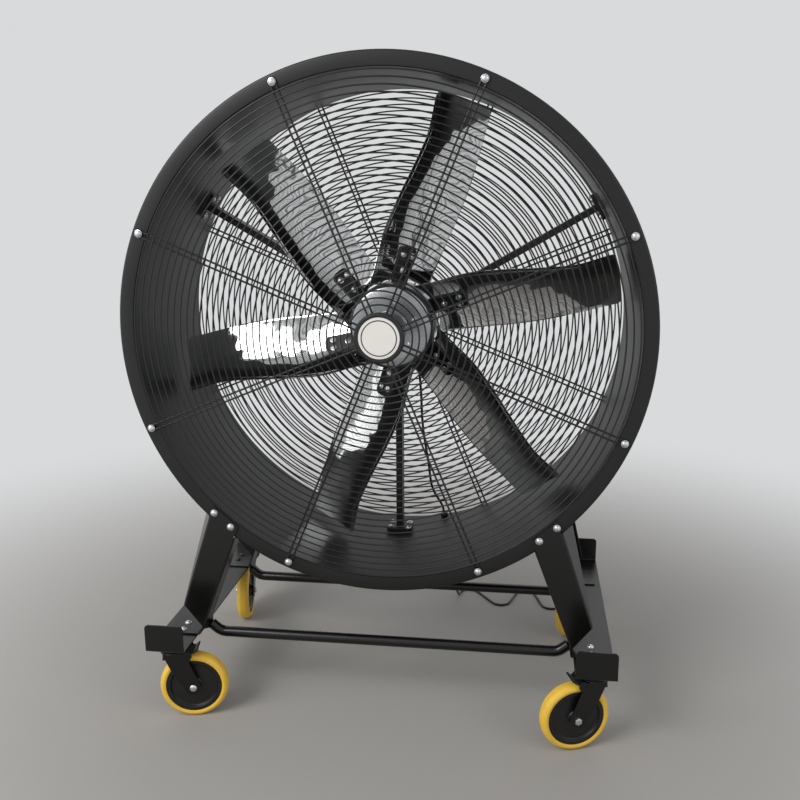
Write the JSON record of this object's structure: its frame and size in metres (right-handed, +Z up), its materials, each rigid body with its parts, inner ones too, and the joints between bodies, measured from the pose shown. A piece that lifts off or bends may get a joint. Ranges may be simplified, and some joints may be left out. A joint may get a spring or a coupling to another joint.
{
  "type": "drum fan",
  "caption": "Mobile drum fan: a large steel drum with wire guards and an axial rotor, standing on floor rails with swivel casters.",
  "frame": {"origin": "on the floor, under the middle of the drum and of the two rails", "axes": "+Z up; -Y is the front, which shows the badge; the drum's axis lies along Y"},
  "size_m": [1.32, 0.9586, 1.662],
  "materials": {
    "powder_coat": "semi-gloss black powder coat",
    "guard_wire": "semi-gloss black coated wire",
    "bright_steel": "mirror-bright stainless steel sheet",
    "motor_paint": "satin dark grey paint",
    "zinc": "bright zinc plating",
    "tyre_yellow": "satin yellow polyurethane",
    "black_nylon": "satin black moulded nylon",
    "cream_plate": "smooth cream",
    "cord_black": "matt black sheath"
  },
  "bodies": {
    "frame": {"drum_shell": "powder_coat", "motor_arm_1": "powder_coat", "motor_arm_2": "powder_coat", "motor_arm_3": "powder_coat", "rail_left": "powder_coat", "rail_right": "powder_coat", "leg_front_right": "powder_coat", "leg_front_left": "powder_coat", "leg_rear_right": "powder_coat", "leg_rear_left": "powder_coat", "tube_front": "powder_coat", "tube_rear": "powder_coat", "front_guard": "guard_wire", "rear_guard": "guard_wire", "motor_stator": "motor_paint", "guard_bolt_1": "zinc", "guard_bolt_2": "zinc", "guard_bolt_3": "zinc", "guard_bolt_4": "zinc", "guard_bolt_5": "zinc", "guard_bolt_6": "zinc", "guard_bolt_7": "zinc", "guard_bolt_8": "zinc", "caster_plate_front_left": "zinc", "caster_plate_front_right": "zinc", "caster_plate_rear_left": "zinc", "caster_plate_rear_right": "zinc", "badge_dish": "black_nylon", "cord_gland": "black_nylon", "cord_plug": "black_nylon", "badge_face": "cream_plate", "motor_cable": "cord_black", "power_cord": "cord_black", "cord_coil": "cord_black"},
    "rotor": {"motor_rotor": "bright_steel", "fan_blade_1": "bright_steel", "fan_blade_2": "bright_steel", "fan_blade_3": "bright_steel", "fan_blade_4": "bright_steel", "fan_blade_5": "bright_steel", "fan_blade_6": "bright_steel"},
    "swivel_front_left": {"caster_fork_front_left": "powder_coat", "axle_bolt_front_left": "zinc"},
    "wheel_front_left": {"wheel_core_front_left": "black_nylon", "wheel_tyre_front_left": "tyre_yellow"},
    "pedal_front_left": {"brake_pedal_front_left": "black_nylon"},
    "swivel_front_right": {"caster_fork_front_right": "powder_coat", "axle_bolt_front_right": "zinc"},
    "wheel_front_right": {"wheel_core_front_right": "black_nylon", "wheel_tyre_front_right": "tyre_yellow"},
    "pedal_front_right": {"brake_pedal_front_right": "black_nylon"},
    "swivel_rear_left": {"caster_fork_rear_left": "powder_coat", "axle_bolt_rear_left": "zinc"},
    "wheel_rear_left": {"wheel_core_rear_left": "black_nylon", "wheel_tyre_rear_left": "tyre_yellow"},
    "swivel_rear_right": {"caster_fork_rear_right": "powder_coat", "axle_bolt_rear_right": "zinc"},
    "wheel_rear_right": {"wheel_core_rear_right": "black_nylon", "wheel_tyre_rear_right": "tyre_yellow"}
  },
  "joints": [
    {"name": "fan_spin", "type": "hinge", "parent": "frame", "child": "rotor", "pos_m": [0, 0, 1.002], "axis": [0, 1, 0], "continuous": true},
    {"name": "swivel_front_left", "type": "hinge", "parent": "frame", "child": "swivel_front_left", "pos_m": [-0.538, -0.3, 0.19], "axis": [0, 0, 1], "continuous": true},
    {"name": "roll_front_left", "type": "hinge", "parent": "swivel_front_left", "child": "wheel_front_left", "pos_m": [-0.48909, -0.2896, 0.0875], "axis": [-0.2079, 0.9781, 0], "continuous": true},
    {"name": "brake_front_left", "type": "hinge", "parent": "swivel_front_left", "child": "pedal_front_left", "pos_m": [-0.49692, -0.29127, 0.183], "axis": [-0.2079, 0.9781, 0], "range_deg": [0, 12]},
    {"name": "swivel_front_right", "type": "hinge", "parent": "frame", "child": "swivel_front_right", "pos_m": [0.538, -0.3, 0.19], "axis": [0, 0, 1], "continuous": true},
    {"name": "roll_front_right", "type": "hinge", "parent": "swivel_front_right", "child": "wheel_front_right", "pos_m": [0.49072, -0.31628, 0.0875], "axis": [0.3256, -0.9455, 0], "continuous": true},
    {"name": "brake_front_right", "type": "hinge", "parent": "swivel_front_right", "child": "pedal_front_right", "pos_m": [0.49829, -0.31367, 0.183], "axis": [0.3256, -0.9455, 0], "range_deg": [0, 12]},
    {"name": "swivel_rear_left", "type": "hinge", "parent": "frame", "child": "swivel_rear_left", "pos_m": [-0.538, 0.3, 0.19], "axis": [0, 0, 1], "continuous": true},
    {"name": "roll_rear_left", "type": "hinge", "parent": "swivel_rear_left", "child": "wheel_rear_left", "pos_m": [-0.52846, 0.25092, 0.0875], "axis": [0.9816, 0.1908, 0], "continuous": true},
    {"name": "swivel_rear_right", "type": "hinge", "parent": "frame", "child": "swivel_rear_right", "pos_m": [0.538, 0.3, 0.19], "axis": [0, 0, 1], "continuous": true},
    {"name": "roll_rear_right", "type": "hinge", "parent": "swivel_rear_right", "child": "wheel_rear_right", "pos_m": [0.51376, 0.25627, 0.0875], "axis": [0.8746, -0.4848, 0], "continuous": true}
  ]
}
